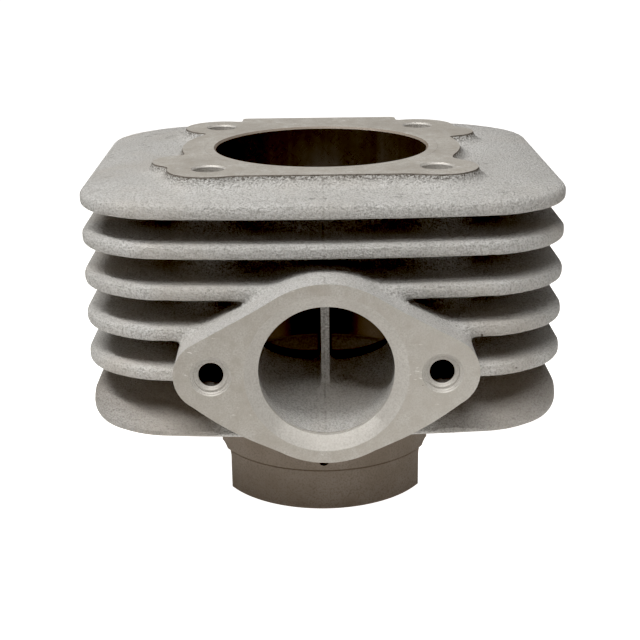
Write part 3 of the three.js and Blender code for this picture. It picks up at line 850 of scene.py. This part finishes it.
@once
def milled_face():
    """A milled aluminium face that has been handled."""
    n = Nodes("milled_face")
    grain = n.noise(0.35, 3.0, rough=0.7)
    mottle = n.noise(2.2, 4.0, rough=0.65)
    patches = n.noise(9.0, 3.0)
    lines = n.noise(0.5, 2.0, n.vector("MULTIPLY", n.place, (0.05, 1.6, 1.6)))
    tone = n.mix(n.span(patches, 0.35, 0.65), (0.535, 0.51, 0.468), (0.605, 0.588, 0.55))
    tone = n.mix(n.span(mottle, 0.3, 0.6), (0.47, 0.435, 0.385), tone)
    tone = n.mix(n.span(grain, 0.32, 0.58), (0.43, 0.40, 0.36), tone)
    # The exhaust flange's face is lighter on its right than on its left.
    front = n.span(n.y, -FACE + 0.3, -FACE + 0.1)
    tone = n.mix(n.math("MULTIPLY", front, n.span(n.x, 0.0, 22.0, 0.0, 0.22)), tone, (0.72, 0.70, 0.655))
    tone = n.mix(n.math("MULTIPLY", front, n.span(n.x, 0.0, -22.0, 0.0, 0.22)), tone, (0.40, 0.375, 0.335))
    # Handling marks: bright hairlines in a few areas, and dark dents.
    lean = n.math("ADD", n.x, n.math("MULTIPLY", n.z, 0.6))
    hair = n.noise(0.7, 3.0, n.combine(n.math("MULTIPLY", lean, 0.35), n.y, n.z))
    handled = n.math("MULTIPLY", n.span(hair, 0.64, 0.70), n.span(n.noise(11.0, 1.0), 0.5, 0.6))
    tone = n.mix(handled, tone, (0.78, 0.76, 0.73))
    dents = n.span(n.noise(1.3, 2.0), 0.20, 0.235)
    tone = n.mix(dents, (0.15, 0.135, 0.115), tone)
    bump = n.bump(grain, 0.08, 0.9)
    bump = n.bump(lines, 0.03, 0.5, bump)
    return n.finish(tone, n.span(patches, 0.3, 0.7, 0.55, 0.68), 0.3, bump)


def turned_iron():
    """The outside of the liner and its skirt."""
    n = Nodes("turned_iron")
    rings = n.noise(0.3, 2.0, n.combine(0.0, 0.0, n.z))
    grain = n.noise(0.4, 3.0)
    patches = n.noise(8.0, 3.0)
    tone = n.mix(n.span(patches, 0.35, 0.65), (0.275, 0.232, 0.19), (0.33, 0.283, 0.24))
    tone = n.mix(n.span(grain, 0.3, 0.55), (0.22, 0.183, 0.15), tone)
    bump = n.bump(rings, 0.02, 0.6)
    bump = n.bump(grain, 0.02, 0.6, bump)
    return n.finish(tone, n.span(grain, 0.3, 0.7, 0.55, 0.7), 0.1, bump)


def shade_painted_iron():
    """Near-black iron, painted as the shade deep in the liner: the walls of its windows, the oil drilling,
    and the wider lower end of the bore.
    """
    n = Nodes("shade_painted_iron")
    grain = n.noise(0.5, 3.0)
    tone = n.mix(n.span(grain, 0.35, 0.65), (0.035, 0.03, 0.024), (0.065, 0.055, 0.045))
    return n.finish(tone, n.span(grain, 0.3, 0.7, 0.45, 0.6), 0.3, n.bump(grain, 0.03, 0.6))


def honed_bore():
    """The bore, with crossed honing lines and streaks of oil."""
    n = Nodes("honed_bore")
    angle = n.math("ARCTAN2", n.y, n.x)
    around = n.math("MULTIPLY", angle, BORE_RADIUS)
    hone = None
    for lean in (1.0, -1.0):
        across = n.math("ADD", around, n.math("MULTIPLY", n.z, lean))
        along = n.math("SUBTRACT", around, n.math("MULTIPLY", n.z, lean))
        line = n.noise(0.22, 2.0, n.combine(across, n.math("MULTIPLY", along, 0.03), 0.0))
        hone = line if hone is None else n.math("ADD", hone, line)
    patches = n.noise(10.0, 3.0)
    streaks = n.noise(4.0, 2.0, n.combine(around, n.math("MULTIPLY", n.z, 0.03), 0.0))
    tone = n.mix(n.span(patches, 0.35, 0.65), (0.30, 0.27, 0.235), (0.40, 0.365, 0.325))
    tone = n.mix(n.span(streaks, 0.3, 0.7), (0.25, 0.225, 0.195), tone)
    # Painted shade: the bore is darker from the port down, deep in the cylinder.
    tone = n.mix(n.span(n.z, DECK - 34.0, DECK - 14.0), (0.065, 0.052, 0.040), tone)
    bump = n.bump(hone, 0.006, 0.7)
    return n.finish(tone, n.span(hone, 0.7, 1.3, 0.25, 0.4), 0.9, bump)


def insert_steel():
    """Steel of the threads, near-black: partly its own colour, partly painted shade inside the bolt hole."""
    n = Nodes("insert_steel")
    grain = n.noise(0.2, 3.0)
    tone = n.mix(n.span(grain, 0.3, 0.7), (0.07, 0.064, 0.057), (0.13, 0.12, 0.11))
    return n.finish(tone, n.span(grain, 0.3, 0.7, 0.45, 0.6), 0.6, n.bump(grain, 0.02, 0.6))


# ---- Stage ----------------------------------------------------------------------------------------
def floor():
    """A white light table: pure white to the camera, and a soft glow from below near the part."""
    size = 4.0
    corners = [(-size, -size, 0), (size, -size, 0), (size, size, 0), (-size, size, 0)]
    mesh = bpy.data.meshes.new("floor")
    mesh.from_pydata(corners, [], [(0, 1, 2, 3)])
    ground = bpy.data.objects.new("floor", mesh)
    bpy.context.scene.collection.objects.link(ground)
    n = Nodes("pale_floor")
    distance = n.add("ShaderNodeVectorMath", operation="LENGTH")
    n.feed(distance, 0, n.place)
    near = n.span(distance.outputs["Value"], 400.0, 200.0)
    seen = n.add("ShaderNodeLightPath").outputs["Is Camera Ray"]
    glow = n.math("MAXIMUM", n.math("MULTIPLY", near, TABLE_GLOW), n.math("MULTIPLY", seen, 1.1))
    n.feed(n.surface, "Emission Color", (1.0, 0.99, 0.975, 1.0))
    n.feed(n.surface, "Emission Strength", glow)
    n.feed(n.surface, "Specular IOR Level", 0.0)
    n.feed(n.surface, "Base Color", n.mix(near, (0.06, 0.06, 0.06), (0.72, 0.705, 0.68)))
    n.feed(n.surface, "Roughness", 0.9)
    mesh.materials.append(n.material)


def lamp(name, x, width, power):
    """A long, narrow soft box, above and in front of the part, that looks at its middle. In metres."""
    light = bpy.data.lights.new(name, "AREA")
    light.shape = "RECTANGLE"
    light.size = width
    light.size_y = LAMP_DEPTH
    light.energy = power
    light.color = LAMP_COLOR
    thing = bpy.data.objects.new(name, light)
    bpy.context.scene.collection.objects.link(thing)
    target = Vector((0, 0, DECK * MM * 0.6))
    thing.location = Vector((x, LAMP_Y, LAMP_Z))
    thing.rotation_euler = (target - thing.location).to_track_quat("-Z", "Y").to_euler()


def world():
    """White to the camera, and a dim grey room as light."""
    scene_world = bpy.data.worlds.new("room")
    bpy.context.scene.world = scene_world
    scene_world.use_nodes = True
    tree = scene_world.node_tree
    tree.nodes.clear()
    output = tree.nodes.new("ShaderNodeOutputWorld")
    room = tree.nodes.new("ShaderNodeBackground")
    room.inputs[0].default_value = (0.95, 0.97, 1.0, 1.0)
    room.inputs[1].default_value = ROOM_LIGHT
    seen = tree.nodes.new("ShaderNodeBackground")
    seen.inputs[1].default_value = 1.2
    path = tree.nodes.new("ShaderNodeLightPath")
    pick = tree.nodes.new("ShaderNodeMixShader")
    tree.links.new(path.outputs["Is Camera Ray"], pick.inputs[0])
    tree.links.new(room.outputs[0], pick.inputs[1])
    tree.links.new(seen.outputs[0], pick.inputs[2])
    tree.links.new(pick.outputs[0], output.inputs[0])


def camera():
    """In front of the exhaust port and above it, looking down by 18 degrees."""
    view = bpy.data.cameras.new("camera")
    view.lens = 72.98
    view.sensor_width = 36.0
    view.clip_start = 0.01
    thing = bpy.data.objects.new("camera", view)
    bpy.context.scene.collection.objects.link(thing)
    yaw, pitch, roll = math.radians(0.63), math.radians(18.405), math.radians(-0.605)
    ahead = Vector((math.sin(yaw) * math.cos(pitch), math.cos(yaw) * math.cos(pitch), -math.sin(pitch)))
    right = Vector((math.cos(yaw), -math.sin(yaw), 0.0))
    up = right.cross(ahead)
    tilted_right = right * math.cos(roll) + up * math.sin(roll)
    tilted_up = up * math.cos(roll) - right * math.sin(roll)
    turn = Matrix((tilted_right, tilted_up, -ahead)).transposed().to_4x4()
    place = Vector((-3.83, -288.04, DECK + 54.57)) * MM
    thing.matrix_world = Matrix.Translation(place) @ turn
    bpy.context.scene.camera = thing


def tones():
    """Deepens the shadows, as the contrast of a product picture does."""
    settings = bpy.context.scene.view_settings
    settings.view_transform = "Standard"
    settings.use_curve_mapping = True
    settings.curve_mapping.black_level = BLACK_LEVEL
    settings.curve_mapping.update()


# ---- Scene ----------------------------------------------------------------------------------------
def piece(thing, node):
    """Lets a mesh stand for a CAD node, on the part's one body."""
    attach(thing, "root")
    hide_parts(node)


piece(casting(), "barrel_casting")
piece(liner(), "cylinder_liner")
for word, side in (("left", -1), ("right", 1)):
    insert = thread_insert(f"exhaust_thread_coil_{word}", side)
    piece(insert, f"exhaust_thread_insert_{word}")

floor()
world()
camera()
lamp("key", -0.34, 1.45, 14.0)
lamp("key_spill", 0.0, 2.2, 5.5)
tones()
